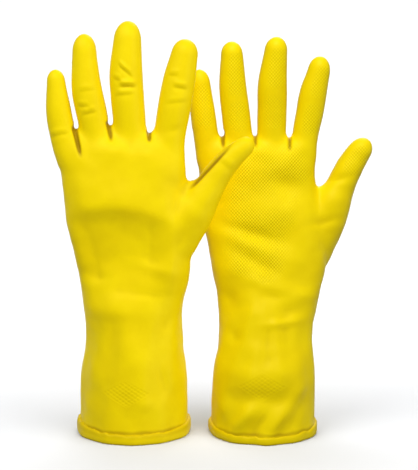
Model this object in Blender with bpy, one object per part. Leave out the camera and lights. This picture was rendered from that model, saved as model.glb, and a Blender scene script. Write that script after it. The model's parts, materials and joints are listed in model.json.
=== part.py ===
"""A pair of household rubber gloves, standing on their rolled cuff beads with the fingers up.

World frame: metres, +Z up, X across the pair, Y in depth. The left glove shows its back to -Y and the
right glove shows its palm to -Y. Each glove is a dipped latex film over a cotton flock lining. The film
is divided where it bends: at the wrist, at each knuckle and at the middle joint of each finger.
"""
import bpy
from mathutils import Vector
from math import cos, sin, pi, radians

MM = 0.001

# Film, lining and bead
FILM = 0.5            # thickness of the latex film
GAP = 0.3             # clearance between the film and the lining, and between neighbouring pieces
FLOCK = 0.4           # thickness of the flock lining
BEAD_RADIUS = 2.5     # rolled bead at the cuff opening
BEAD_OUT = 1.5        # how far the bead's centre line stands outside the film's outer face
CUFF_FOOT = 5.3       # lower edge of the cuff film, just above the bead

# Wrist, knuckles and middle joints
WRIST_LOW, WRIST_HIGH = 82.0, 90.0
BAND = 6.0            # length of film that flexes at a knuckle or middle joint
HINGE_IN = 1.5        # a finger's bending line lies this far inside the palm side of the film
WRIST_HINGE_IN = 5.0  # and the wrist's this far inside the back
CONVERGE = {"little": 12, "ring": 4, "middle": 0, "index": -12}  # degrees a knuckle turns its finger in
CONVERGE_MIDDLE = {"little": 4, "ring": 2, "middle": 0, "index": -8}  # and a middle joint turns its tip in

# Resolution
BODY_SIDES = 20
DIGIT_SIDES = 10

# Heights of the sections that every layer of the cuff and hand shares
BODY_LEVELS = (35, 52, 66, 82, 90, 108, 132, 156, 180, 198)
TOP_LEVELS = (-14, -7, -3.2, 0)       # and of those under the top of the hand

# Stations up each cuff and hand: height, little-finger edge, thumb edge, half depth, shift to the back
LEFT_BODY = [
    (2, -40.4, 41.2, 37.0, 0.0),
    (35, -39.0, 41.2, 36.0, 0.0),
    (52, -38.0, 39.8, 34.0, 1.0),
    (66, -35.6, 37.6, 31.0, 2.0),
    (82, -34.8, 37.0, 28.0, 3.0),
    (100, -36.0, 38.8, 25.5, 4.0),
    (120, -39.0, 42.3, 23.5, 5.5),
    (140, -43.0, 43.5, 21.0, 7.0),
    (160, -47.5, 42.0, 18.5, 8.0),
    (180, -49.3, 40.5, 17.5, 8.0),
    (198, -50.8, 40.0, 16.5, 8.0),
    (213, -53.8, 39.5, 14.0, 8.0),
    (221.5, -52.5, 38.5, 10.5, 8.0),
    (225.5, -49.5, 36.0, 5.5, 8.0),
]
RIGHT_BODY = [
    (2, -40.0, 39.2, 36.4, 0.0),
    (35, -38.4, 39.2, 35.4, 1.0),
    (52, -37.0, 38.2, 33.5, 3.0),
    (66, -34.2, 37.2, 30.5, 5.5),
    (82, -33.4, 38.0, 27.5, 9.0),
    (100, -35.2, 41.8, 25.0, 12.5),
    (120, -38.6, 46.0, 23.0, 16.0),
    (140, -42.4, 46.0, 20.5, 19.0),
    (160, -46.5, 43.0, 18.0, 21.0),
    (180, -47.6, 39.3, 17.0, 22.0),
    (196, -48.6, 38.6, 16.0, 22.0),
    (208, -50.6, 38.4, 13.5, 22.0),
    (215, -50.0, 37.5, 10.0, 22.0),
    (219, -47.5, 35.0, 5.5, 22.0),
]

# Digits: (x, height, half width) from the root inside the hand to the start of the round tip, then the
# tip's top, the height where the knuckle band starts and the height where the middle band starts
LEFT_DIGITS = {
    "little": ([(-42, 202, 10.6), (-45.9, 214, 10.8), (-49.9, 228, 10.1), (-52.1, 243, 9.3),
                (-53.4, 262, 6.9)], (-54.1, 271.5), 227, 243),
    "ring": ([(-21, 202, 11.5), (-24, 220, 11.4), (-28.2, 240, 11.4), (-31.5, 258, 10.7),
              (-32.9, 284, 8.4)], (-33.2, 296.5), 230, 248),
    "middle": ([(1, 202, 12.2), (-0.2, 225, 12.1), (-1.9, 248, 12.1), (-3.0, 268, 12.0),
                (-1.9, 291, 10.3)], (-1.2, 306), 232, 257),
    "index": ([(26, 202, 12), (28.6, 225, 12.0), (31.6, 243, 12.2), (35.2, 263, 11.8),
               (38.8, 282, 10.2)], (40.6, 293), 232, 250),
    "thumb": ([(17, 122, 17), (31, 146, 17.5), (42.5, 164, 15.8), (54, 182, 12.5), (62, 195, 10.4),
               (72, 207.5, 9.5), (82.5, 216, 8.2)], (89.5, 221.5), 191, None),
}
RIGHT_DIGITS = {
    "little": ([(-40.5, 200, 9.8), (-42.6, 214, 10.2), (-44.4, 229, 10.2), (-45.9, 241, 9.6),
                (-47.7, 259, 7.6)], (-48.7, 270.5), 224, 239),
    "ring": ([(-17.6, 200, 11.2), (-19.6, 223, 11.4), (-21.6, 240, 11.1), (-23.6, 256, 10.5),
              (-24.3, 281, 8.3)], (-24.7, 291), 227, 245),
    "middle": ([(6, 200, 11.5), (5.5, 223, 11.3), (5.7, 240, 11), (6.2, 260, 10.6),
                (8.4, 284, 8.2)], (9.2, 294), 228, 251),
    "index": ([(28.5, 200, 10.6), (31, 223, 10.4), (33.9, 237, 10.3), (36.8, 254, 9.9),
               (40.7, 269, 8.2)], (42.8, 280), 227, 245),
    "thumb": ([(22, 114, 18), (35, 138, 18.4), (45, 155, 16.5), (53.8, 172, 13.4), (59.6, 186, 11.1),
               (64.8, 198, 10.2), (71.5, 209, 9)], (78, 218.5), 186, None),
}
DEPTH_RATIO = 0.9     # digit depth over digit width
THUMB_ROOT_DEPTH = 14.0
THUMB_BACK = 3.0      # the free end of the thumb stands this far to the back of the hand's plane
CURL = {"little": 2.0, "ring": 4.0, "middle": 5.0, "index": 3.0, "thumb": 0.0}

# Each glove: centre line in X, cuff centre in Y, direction of its palm in Y, body stations, digits
GLOVES = {
    "left": (-59.1, 0.0, 1.0, LEFT_BODY, LEFT_DIGITS),
    "right": (38.9, 0.0, -1.0, RIGHT_BODY, RIGHT_DIGITS),
}


def clear_scene():
    for obj in list(bpy.data.objects):
        bpy.data.objects.remove(obj, do_unlink=True)


def material(name, colour, roughness):
    mat = bpy.data.materials.new(name)
    mat.use_nodes = True
    shader = mat.node_tree.nodes["Principled BSDF"]
    shader.inputs["Base Color"].default_value = (*colour, 1.0)
    shader.inputs["Roughness"].default_value = roughness
    return mat


def interpolate(rows, key):
    """Smooth interpolation of a row table along its first column."""
    if key <= rows[0][0]:
        return rows[0][1:]
    for i in range(len(rows) - 1):
        if key <= rows[i + 1][0]:
            a, b = rows[i], rows[i + 1]
            before, after = rows[max(i - 1, 0)], rows[min(i + 2, len(rows) - 1)]
            span = b[0] - a[0]
            t = (key - a[0]) / span
            out = []
            for c in range(1, len(a)):
                m0 = (b[c] - before[c]) / (b[0] - before[0]) * span
                m1 = (after[c] - a[c]) / (after[0] - a[0]) * span
                out.append((2 * t**3 - 3 * t**2 + 1) * a[c] + (t**3 - 2 * t**2 + t) * m0
                           + (3 * t**2 - 2 * t**3) * b[c] + (t**3 - t**2) * m1)
            return tuple(out)
    return rows[-1][1:]


class Glove:
    """Places the cuff, hand and digit sections of one glove in the world, in millimetres."""

    def __init__(self, side):
        self.side = side
        self.x, self.y, self.palm, self.body, self.digits = GLOVES[side]
        self.hand_back = self.body[-1][4]

    def body_ring(self, height, inset):
        """Closed section of the cuff or hand, drawn in by inset."""
        low, high, depth, back = interpolate(self.body, height)
        squareness = 2.0 + 0.5 * min(max((height - 90) / 60, 0), 1)
        half = (high - low) / 2 - inset
        ring = []
        for k in range(BODY_SIDES):
            c, s = cos(2 * pi * k / BODY_SIDES), sin(2 * pi * k / BODY_SIDES)
            px = half * abs(c) ** (2 / squareness) * (1 if c >= 0 else -1)
            py = (depth - inset) * abs(s) ** (2 / squareness) * (1 if s >= 0 else -1)
            ring.append(Vector((self.x + (low + high) / 2 + px, self.y - self.palm * back + py,
                                height - (inset if height > 205 else 0))))
        return ring

    def digit_path(self, digit):
        """Sections along a digit as rows: height, x, y, half width, half depth."""
        points, tip, knuckle, middle = self.digits[digit]
        rows = []
        base, top = points[0][1], tip[1]
        for x, height, half in [*points, (*tip, points[-1][2] * 0.98)]:
            t = (height - base) / (top - base)
            y = self.y + self.palm * (CURL[digit] * t * t - self.hand_back)
            depth = half * DEPTH_RATIO
            if digit == "thumb":
                y -= self.palm * THUMB_BACK * min(2 * t, 1)
                depth = min(half * 0.95, THUMB_ROOT_DEPTH)
            rows.append((height, self.x + x, y, half, depth))
        return rows

    def centre(self, digit, height):
        x, y, half, depth = interpolate(self.digit_path(digit), height)
        return Vector((x, y, height)), half, depth

    def frame(self, digit, height):
        """Centre, direction, sideways and depth axes, half width and half depth at a height."""
        here, half, depth = self.centre(digit, height)
        ahead = self.centre(digit, height + 1)[0]
        behind = self.centre(digit, height - 1)[0]
        along = (ahead - behind).normalized()
        across = Vector((along.z, 0, -along.x)).normalized()
        return here, along, across, along.cross(across), half, depth

    def digit_ring(self, digit, height, inset):
        """Section of a digit across its own direction."""
        here, along, across, deep, half, depth = self.frame(digit, height)
        ring = []
        for k in range(DIGIT_SIDES):
            a = 2 * pi * (k + 0.5) / DIGIT_SIDES
            ring.append(here + across * (half - inset) * cos(a) + deep * (depth - inset) * sin(a))
        return ring

    def tip_rings(self, digit, inset):
        """Rings that round off the end of a digit, and its last point."""
        points, tip, _, _ = self.digits[digit]
        height = points[-1][1]
        here, along, across, deep, half, depth = self.frame(digit, height)
        end = self.centre(digit, tip[1])[0]
        reach = (end - here).length - inset
        rings = []
        for angle in (32, 62):
            c, s = cos(radians(angle)), sin(radians(angle))
            middle = here + (end - here).normalized() * reach * s
            rings.append([middle + across * (half - inset) * c * cos(2 * pi * (k + 0.5) / DIGIT_SIDES)
                          + deep * (depth - inset) * c * sin(2 * pi * (k + 0.5) / DIGIT_SIDES)
                          for k in range(DIGIT_SIDES)])
        return rings, here + (end - here).normalized() * reach

    def levels(self, digit):
        """Heights of the sections that every layer of a free digit shares."""
        points, _, knuckle, middle = self.digits[digit]
        top = points[-1][1]
        if middle is None:
            return heights(knuckle + BAND, top, 10)
        return heights(knuckle + BAND, middle, 20) + heights(middle + BAND, top, 15)

    def hinge(self, digit, height, converge):
        """Bending line of a finger, near the palm side of the film, and its axis."""
        here, along, across, deep, half, depth = self.frame(digit, height)
        toward_palm = deep if deep.y * self.palm > 0 else -deep
        turn = radians(converge)
        axis = Vector((-self.palm * cos(turn), sin(turn), 0))
        axis = (axis - along * axis.dot(along)).normalized()
        return here + toward_palm * (depth - HINGE_IN), axis

    def thumb_hinge(self, height):
        """Bending line of the thumb: through its middle, across the hand's plane."""
        return self.centre("thumb", height)[0], Vector((0, -1, 0))

    def wrist_hinge(self):
        """Bending line of the wrist: on the back of the film."""
        height = (WRIST_LOW + WRIST_HIGH) / 2
        depth, back = interpolate(self.body, height)[2:]
        reach = back + depth - WRIST_HINGE_IN
        return Vector((self.x, self.y - self.palm * reach, height)), Vector((self.palm, 0, 0))


def heights(low, high, step):
    count = max(1, round((high - low) / step))
    return [low + (high - low) * i / count for i in range(count + 1)]


def loft(rings, closed_ends, tip=None):
    """Vertices and faces of a tube through rings, with flat ends or a last point."""
    sides = len(rings[0])
    verts = [v for ring in rings for v in ring]
    faces = [[j * sides + i, j * sides + (i + 1) % sides, (j + 1) * sides + (i + 1) % sides,
              (j + 1) * sides + i] for j in range(len(rings) - 1) for i in range(sides)]
    last = (len(rings) - 1) * sides
    if closed_ends:
        faces.append([i for i in reversed(range(sides))])
        if tip is None:
            faces.append([last + i for i in range(sides)])
    if tip is not None:
        verts.append(tip)
        faces += [[last + i, last + (i + 1) % sides, len(verts) - 1] for i in range(sides)]
    return verts, faces


def shell(outer, inner, outer_tip=None, inner_tip=None):
    """A tube with a wall: outer and inner rings joined at the open ends."""
    verts, faces = loft(outer, False, outer_tip)
    more, inside = loft(inner, False, inner_tip)
    shift, sides, last = len(verts), len(outer[0]), (len(outer) - 1) * len(outer[0])
    faces += [[shift + i for i in reversed(face)] for face in inside]
    for i in range(sides):
        j = (i + 1) % sides
        faces.append([j, i, shift + i, shift + j])
        if outer_tip is None:
            faces.append([last + i, last + j, shift + last + j, shift + last + i])
    return verts + more, faces


def new_object(name, data, collection, pivot=Vector((0, 0, 0))):
    verts, faces = data
    mesh = bpy.data.meshes.new(name)
    mesh.from_pydata([(v - pivot) * MM for v in verts], [], faces)
    obj = bpy.data.objects.new(name, mesh)
    obj.location = pivot * MM
    collection.objects.link(obj)
    face_outward(obj)
    return obj


def face_outward(obj):
    """Turn a closed mesh right side out, by its signed volume."""
    mesh = obj.data
    mesh.calc_loop_triangles()
    volume = sum(mesh.vertices[t.vertices[0]].co.dot(
        mesh.vertices[t.vertices[1]].co.cross(mesh.vertices[t.vertices[2]].co))
        for t in mesh.loop_triangles)
    if volume < 0:
        mesh.flip_normals()
    mesh.shade_smooth()


def combine(target, tool, operation):
    """Apply an exact boolean to target and discard the tool."""
    mod = target.modifiers.new(operation, "BOOLEAN")
    mod.operation, mod.solver, mod.object = operation, "EXACT", tool
    bpy.context.view_layer.update()
    mesh = bpy.data.meshes.new_from_object(target.evaluated_get(bpy.context.evaluated_depsgraph_get()))
    target.modifiers.remove(mod)
    target.data = mesh
    bpy.data.objects.remove(tool, do_unlink=True)


def hand_form(glove, name, inset, low, past_knuckle, collection):
    """Solid of the hand from a height up, with a stub of every digit to just past its knuckle line."""
    top = glove.body[-1][0]
    levels = [low] + [h for h in BODY_LEVELS if h > low + 3.5] + [top + h for h in TOP_LEVELS]
    form = new_object(name, loft([glove.body_ring(h, inset) for h in levels], True), collection)
    for digit, (points, _, knuckle, _) in glove.digits.items():
        rings = [glove.digit_ring(digit, h, inset) for h in heights(points[0][1], knuckle, 16)]
        root = glove.frame(digit, points[0][1])[1]
        rings[0] = [v + root * inset for v in rings[0]]
        along = glove.frame(digit, knuckle)[1]
        if past_knuckle:
            rings.append([v + along * past_knuckle for v in rings[-1]])
        stub = new_object(name + "_" + digit, loft(rings, True), collection)
        combine(form, stub, "UNION")
    return form


def hand_shell(glove, name, outer, inner, low, collection, pivot):
    """Hand piece: the outer form with the inner form taken out through the wrist and the digits."""
    form = hand_form(glove, name, outer, low, 0, collection)
    core = hand_form(glove, name + "_core", inner, low - 3, 3, collection)
    combine(form, core, "DIFFERENCE")
    for vert in form.data.vertices:
        vert.co -= pivot * MM
    form.location = pivot * MM
    return form


def digit_shell(glove, name, digit, low, high, outer, inner, collection, pivot):
    """Tube of a digit between two heights, cut square to the digit. No upper height closes the tip."""
    stop = high if high is not None else glove.digits[digit][0][-1][1]
    levels = [low] + [h for h in glove.levels(digit) if low + 1 < h < stop - 1] + [stop]
    rings = [[glove.digit_ring(digit, h, inset) for h in levels] for inset in (outer, inner)]
    tips = [None, None]
    if high is None:
        for i, inset in enumerate((outer, inner)):
            round_off, tips[i] = glove.tip_rings(digit, inset)
            rings[i] += round_off
    return new_object(name, shell(rings[0], rings[1], tips[0], tips[1]), collection, pivot)


def body_shell(glove, name, levels, outer, inner, collection, pivot=Vector((0, 0, 0))):
    """Tube of the cuff or wrist through the given heights."""
    rings = [[glove.body_ring(h, inset) for h in levels] for inset in (outer, inner)]
    return new_object(name, shell(*rings), collection, pivot)


def bead(glove, name, collection):
    """Rolled bead around the cuff opening, standing on the floor: a closed round curve."""
    path = glove.body_ring(2, -BEAD_OUT)
    curve = bpy.data.curves.new(name, "CURVE")
    curve.dimensions = "3D"
    curve.bevel_depth = BEAD_RADIUS * MM
    curve.bevel_resolution = 2
    spline = curve.splines.new("POLY")
    spline.points.add(len(path) - 1)
    for point, place in zip(spline.points, path):
        point.co = (*(Vector((place.x, place.y, BEAD_RADIUS)) * MM), 1)
    spline.use_cyclic_u = True
    obj = bpy.data.objects.new(name, curve)
    collection.objects.link(obj)
    return obj


def build_glove(side, collection, film, flock):
    glove = Glove(side)
    lining, core = FILM + GAP, FILM + GAP + FLOCK
    wrist = glove.wrist_hinge()[0]

    def keep(obj, mat):
        obj.data.materials.clear()
        obj.data.materials.append(mat)

    keep(bead(glove, side + "_cuff_bead", collection), film)
    keep(body_shell(glove, side + "_cuff", [CUFF_FOOT, 35, 52, 66, WRIST_LOW], 0, FILM,
                    collection), film)
    keep(body_shell(glove, side + "_wrist_band", [WRIST_LOW + GAP, 86, WRIST_HIGH - GAP], 0, FILM,
                    collection), film)
    keep(hand_shell(glove, side + "_hand", 0, FILM, WRIST_HIGH, collection, wrist), film)
    keep(hand_shell(glove, side + "_hand_lining", lining, core, CUFF_FOOT, collection, wrist), flock)

    for digit, (_, _, knuckle, middle) in glove.digits.items():
        name = side + "_" + digit
        if digit == "thumb":
            pivot = glove.thumb_hinge(knuckle + BAND / 2)[0]
        else:
            pivot = glove.hinge(digit, knuckle + BAND / 2, CONVERGE[digit])[0]
        keep(digit_shell(glove, name + "_knuckle_band", digit, knuckle + GAP, knuckle + BAND - GAP, 0,
                         FILM, collection, pivot), film)
        if middle is None:
            keep(digit_shell(glove, name, digit, knuckle + BAND, None, 0, FILM, collection, pivot), film)
        else:
            keep(digit_shell(glove, name + "_base", digit, knuckle + BAND, middle, 0, FILM,
                             collection, pivot), film)
            tip_pivot = glove.hinge(digit, middle + BAND / 2, CONVERGE_MIDDLE[digit])[0]
            keep(digit_shell(glove, name + "_middle_band", digit, middle + GAP, middle + BAND - GAP, 0,
                             FILM, collection, tip_pivot), film)
            keep(digit_shell(glove, name + "_tip", digit, middle + BAND, None, 0, FILM, collection,
                             tip_pivot), film)
        keep(digit_shell(glove, name + "_lining", digit, knuckle + 2 * GAP, None, lining, core,
                         collection, pivot), flock)


def main():
    clear_scene()
    gloves = bpy.data.collections.new("rubber_gloves")
    bpy.context.scene.collection.children.link(gloves)
    film = material("yellow_latex", (0.90, 0.68, 0.0), 0.42)
    flock = material("cotton_flock", (0.86, 0.80, 0.62), 0.95)
    for side in GLOVES:
        build_glove(side, gloves, film, flock)


main()
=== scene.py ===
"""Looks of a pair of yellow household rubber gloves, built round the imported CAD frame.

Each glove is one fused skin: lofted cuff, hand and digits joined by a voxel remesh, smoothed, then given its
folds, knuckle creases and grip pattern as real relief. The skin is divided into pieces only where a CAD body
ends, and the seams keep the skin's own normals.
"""
import json
from math import cos, sin, pi, radians

import bmesh
import bpy
import numpy as np
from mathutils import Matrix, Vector, noise

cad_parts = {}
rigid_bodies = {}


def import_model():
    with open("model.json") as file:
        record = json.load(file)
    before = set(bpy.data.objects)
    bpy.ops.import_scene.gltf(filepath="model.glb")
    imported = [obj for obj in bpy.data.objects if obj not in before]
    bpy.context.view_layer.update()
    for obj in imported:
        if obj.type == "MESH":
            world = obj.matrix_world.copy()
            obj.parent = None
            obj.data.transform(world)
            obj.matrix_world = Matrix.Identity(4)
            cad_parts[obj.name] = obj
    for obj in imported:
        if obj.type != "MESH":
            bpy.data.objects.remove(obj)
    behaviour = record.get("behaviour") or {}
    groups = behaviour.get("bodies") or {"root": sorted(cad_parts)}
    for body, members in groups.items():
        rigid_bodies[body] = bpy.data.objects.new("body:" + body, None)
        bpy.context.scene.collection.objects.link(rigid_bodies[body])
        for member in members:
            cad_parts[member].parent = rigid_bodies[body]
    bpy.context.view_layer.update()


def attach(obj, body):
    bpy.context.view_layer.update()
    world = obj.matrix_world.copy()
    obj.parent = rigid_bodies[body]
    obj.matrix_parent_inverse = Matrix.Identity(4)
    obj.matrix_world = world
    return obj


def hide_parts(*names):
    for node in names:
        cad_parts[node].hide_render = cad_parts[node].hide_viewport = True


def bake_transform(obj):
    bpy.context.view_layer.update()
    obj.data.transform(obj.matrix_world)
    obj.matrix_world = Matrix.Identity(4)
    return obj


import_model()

MM = 0.001
VOXEL = 0.85          # mm, grid of the fused skin
LINING_VOXEL = 1.8    # mm, grid of the lining
LINING_IN = 1.5       # mm, lining's face inside the film's face
FILM_FOOT = 2.4       # mm, height at which the film ends inside its bead
LINING_FOOT = 4.0     # mm, height at which the lining ends
LINING_CLEFT = 1.2    # how much deeper than the film's the lining's clefts are
FLARE = 1.6           # mm, how far the cuff's edge turns out into its bead
WRIST_BEND = (74.0, 98.0)     # heights between which the skin turns from the cuff to the hand
NET_PITCH = 1.75              # mm, grip pattern on palm and fingers
NET_SLANT = radians(48)
NET_RISE = 0.20               # mm
# Bead: half height, half width, how much taller it is at its two sides
BEAD = {"left": (3.8, 2.1, 0.35), "right": (2.9, 2.0, 0.45)}
BEAD_IN = 0.9                               # mm, bead's centre inside the film's face
BEAD_SHADOW_LINE = {"left": 8.6, "right": 7.0}     # mm, height of the painted shadow line over the bead
CUFF_PATCH = {"left": (-3.5, 38.0), "right": (-2.5, 42.0)}      # centre of the embossed patch: x, height
PATCH_HALF = (19.0, 11.0)                   # mm, half width and half height
IMAGE_HEIGHT = 470

# ----------------------------------------------------------------------------------------------------
# Form of the gloves in millimetres: the stations of the CAD, read with finer sections between them
# ----------------------------------------------------------------------------------------------------
# Height, little-finger edge, thumb edge, half depth, shift to the back
LEFT_BODY = [
    (2, -40.4, 41.2, 37.0, 0.0), (35, -39.0, 41.2, 36.0, 0.0), (52, -38.0, 39.8, 34.0, 1.0),
    (66, -35.6, 37.6, 31.0, 2.0), (82, -34.8, 36.7, 28.0, 3.0), (100, -36.3, 37.9, 25.5, 4.0),
    (120, -39.3, 42.3, 23.5, 5.5), (140, -43.0, 43.5, 21.0, 7.0), (160, -47.5, 42.0, 18.5, 8.0),
    (180, -49.3, 40.5, 17.5, 8.0), (198, -50.8, 40.0, 16.5, 8.0), (213, -53.8, 39.5, 14.0, 8.0),
    (221.5, -52.5, 38.5, 10.5, 8.0), (225.5, -49.5, 36.0, 5.5, 8.0),
]
RIGHT_BODY = [
    (2, -39.8, 38.6, 36.4, 0.0), (35, -38.4, 38.2, 35.4, 1.0), (52, -37.3, 37.6, 33.5, 3.0),
    (66, -34.6, 37.0, 30.5, 5.5), (82, -33.8, 37.6, 27.5, 9.0), (100, -35.4, 41.3, 25.0, 12.5),
    (120, -38.6, 46.0, 23.0, 16.0), (140, -42.4, 46.0, 20.5, 19.0), (160, -46.5, 43.0, 18.0, 21.0),
    (180, -47.6, 39.3, 17.0, 22.0), (196, -48.6, 38.6, 16.0, 22.0), (208, -50.6, 38.4, 13.5, 22.0),
    (215, -50.0, 37.5, 10.0, 22.0), (219, -47.5, 35.0, 5.5, 22.0),
]
# Digits: (x, height, half width) points, tip, knuckle height, middle joint height
LEFT_DIGITS = {
    "little": ([(-42, 202, 10.6), (-45.9, 214, 10.8), (-49.9, 228, 10.1), (-52.1, 243, 9.3),
                (-53.4, 262, 6.9)], (-54.1, 271.5), 227, 243),
    "ring": ([(-21, 202, 11.5), (-24, 220, 11.4), (-28.2, 240, 11.4), (-31.7, 258, 11.0),
              (-33.0, 284, 8.8)], (-33.2, 296.9), 230, 248),
    "middle": ([(1, 202, 12.2), (-0.2, 225, 12.1), (-1.9, 248, 12.1), (-3.0, 268, 12.0),
                (-1.9, 291, 10.3)], (-1.2, 306), 232, 257),
    "index": ([(26, 202, 12), (28.6, 225, 12.0), (31.6, 243, 12.2), (35.2, 263, 11.8),
               (39.2, 282, 9.9)], (41.2, 293), 232, 250),
    "thumb": ([(17, 122, 17), (31, 146, 17.5), (42.5, 164, 15.8), (54, 182, 12.5), (62, 195, 10.4),
               (72, 207.5, 9.5), (82.5, 216, 8.2)], (89.5, 221.5), 191, None),
}
RIGHT_DIGITS = {
    "little": ([(-40.6, 200, 9.8), (-42.8, 214, 9.9), (-44.7, 229, 9.8), (-46.1, 241, 9.3),
                (-47.7, 259, 7.6)], (-48.7, 270.5), 224, 239),
    "ring": ([(-17.6, 200, 11.0), (-19.6, 223, 11.0), (-21.6, 240, 10.7), (-23.5, 256, 10.3),
              (-24.3, 281, 8.3)], (-24.7, 291), 227, 245),
    "middle": ([(6, 200, 11.5), (5.5, 223, 11.3), (5.7, 240, 11), (5.9, 260, 10.9),
                (8.1, 284, 8.6)], (9.2, 294.4), 228, 251),
    "index": ([(28.5, 200, 10.6), (31, 223, 10.4), (33.6, 237, 10.3), (36.3, 254, 10.1),
               (40.0, 269, 8.5)], (42.2, 280), 227, 245),
    "thumb": ([(22, 114, 18), (35, 138, 18.4), (45, 155, 16.5), (53.4, 172, 13.4), (59.1, 186, 11.2),
               (64.6, 198, 10.5), (71.6, 209, 9.6)], (79.4, 218.8), 186, None),
}
CURL = {"little": 2.0, "ring": 4.0, "middle": 5.0, "index": 3.0, "thumb": 0.0}
# Centre in X, direction of the palm in Y, stations, digits
GLOVES = {"left": (-59.1, 1.0, LEFT_BODY, LEFT_DIGITS), "right": (38.9, -1.0, RIGHT_BODY, RIGHT_DIGITS)}
# Film between the digits: x, height of its middle, half width, half height
FINGER_WEBS = {
    "left": [(-41.0, 222.5, 5.0, 6.5), (-16.2, 224.5, 5.5, 6.5), (12.9, 220.0, 6.0, 6.5)],
    "right": [(-31.6, 214.3, 5.5, 6.0), (-6.8, 214.3, 5.5, 6.2), (18.8, 211.8, 5.5, 6.0)],
}
# Film between the thumb and the hand: two end points (x, height) and its half height
THUMB_WEBS = {"left": ((30, 176), (60, 188), 9.5), "right": ((28, 167), (56, 181), 8.4)}


def interpolate(rows, key):
    """Smooth interpolation of a row table along its first column."""
    if key <= rows[0][0]:
        return rows[0][1:]
    for i in range(len(rows) - 1):
        if key <= rows[i + 1][0]:
            a, b = rows[i], rows[i + 1]
            before, after = rows[max(i - 1, 0)], rows[min(i + 2, len(rows) - 1)]
            span = b[0] - a[0]
            t = (key - a[0]) / span
            out = []
            for c in range(1, len(a)):
                m0 = (b[c] - before[c]) / (b[0] - before[0]) * span
                m1 = (after[c] - a[c]) / (after[0] - a[0]) * span
                out.append((2 * t**3 - 3 * t**2 + 1) * a[c] + (t**3 - 2 * t**2 + t) * m0
                           + (3 * t**2 - 2 * t**3) * b[c] + (t**3 - t**2) * m1)
            return tuple(out)
    return rows[-1][1:]


def ramp(x, low, high):
    """0 below low, 1 above high, smooth between."""
    t = np.clip((x - low) / (high - low), 0, 1)
    return t * t * (3 - 2 * t)


def bump(x, centre, width):
    """1 at the centre, falling softly to 0 on both sides."""
    return np.exp(-((x - centre) / width) ** 2)


class Form:
    """Sections of one glove in the world, in millimetres."""

    def __init__(self, side):
        self.side = side
        self.x, self.palm, self.body, self.digits = GLOVES[side]
        self.back = self.body[-1][4]
        self.paths = {d: self.path(d) for d in self.digits}

    def body_ring(self, height, inset, sides):
        """Section of the cuff or hand, between an ellipse and a rounded box."""
        low, high, depth, back = interpolate(self.body, height)
        square = 2.0 + 0.5 * min(max((height - 90) / 60, 0), 1)
        half = (high - low) / 2 - inset
        ring = []
        for k in range(sides):
            c, s = cos(2 * pi * k / sides), sin(2 * pi * k / sides)
            px = half * abs(c) ** (2 / square) * (1 if c >= 0 else -1)
            py = (depth - inset) * abs(s) ** (2 / square) * (1 if s >= 0 else -1)
            ring.append(Vector((self.x + (low + high) / 2 + px, py - self.palm * back,
                                height - (inset if height > 205 else 0))))
        return ring

    def path(self, digit):
        """Rows along a digit: height, x, y, half width, half depth."""
        points, tip, _, _ = self.digits[digit]
        rows = []
        base, top = points[0][1], tip[1]
        for x, height, half in [*points, (*tip, points[-1][2] * 0.98)]:
            t = (height - base) / (top - base)
            y = self.palm * (CURL[digit] * t * t - self.back)
            depth = half * 0.9
            if digit == "thumb":
                y -= self.palm * 3.0 * min(2 * t, 1)
                depth = min(half * 0.95, 14.0)
            rows.append((height, self.x + x, y, half, depth))
        return rows

    def centre(self, digit, height):
        """Middle of a digit at a height, with its half width and half depth."""
        x, y, half, depth = interpolate(self.paths[digit], height)
        return Vector((x, y, height)), half, depth

    def section(self, digit, height):
        """A digit's middle, its three directions and its half sizes at a height."""
        here, half, depth = self.centre(digit, height)
        along = (self.centre(digit, height + 1)[0] - self.centre(digit, height - 1)[0]).normalized()
        across = Vector((along.z, 0, -along.x)).normalized()
        return here, along, across, along.cross(across), half, depth

    def digit_rings(self, digit, inset, sides, step):
        """Rings along a digit, closed by a rounded tip."""
        points, tip, _, _ = self.digits[digit]
        first, last = points[0][1], points[-1][1]
        count = max(3, round((last - first) / step))
        rings = []
        for i in range(count + 1):
            here, _, across, deep, half, depth = self.section(digit, first + (last - first) * i / count)
            rings.append([here + across * (half - inset) * cos(2 * pi * k / sides)
                          + deep * (depth - inset) * sin(2 * pi * k / sides) for k in range(sides)])
        end = self.centre(digit, tip[1])[0]
        axis = (end - here).normalized()
        reach = (end - here).length - inset
        for angle in (12, 24, 36, 48, 60, 70, 79, 86):
            c, s = cos(radians(angle)), sin(radians(angle))
            rings.append([here + axis * reach * s + across * (half - inset) * c * cos(2 * pi * k / sides)
                          + deep * (depth - inset) * c * sin(2 * pi * k / sides) for k in range(sides)])
        return rings

    def cuts(self, digit):
        """Heights on a digit where its pieces start, and where each bend starts and ends."""
        _, _, knuckle, middle = self.digits[digit]
        if middle is None:
            return knuckle, (knuckle + 1, knuckle + 12), None, None
        x = self.digits[digit][0][1][0]
        webs = [z + rise for wx, z, _, rise in FINGER_WEBS[self.side] if abs(wx - x) < 19]
        first = max([knuckle + 3] + [w + 2.5 for w in webs])
        second = max(middle - 3, first + 8)
        return first, (first + 1, second - 0.5), second, (second + 0.7, second + 12)


# ----------------------------------------------------------------------------------------------------
# The fused skin
# ----------------------------------------------------------------------------------------------------
def tube(bm, rings):
    """A closed tube through rings, added to a bmesh."""
    made = [[bm.verts.new(v) for v in ring] for ring in rings]
    sides = len(rings[0])
    for a, b in zip(made, made[1:]):
        for k in range(sides):
            bm.faces.new((a[k], a[(k + 1) % sides], b[(k + 1) % sides], b[k]))
    bm.faces.new(reversed(made[0]))
    bm.faces.new(made[-1])


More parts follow.
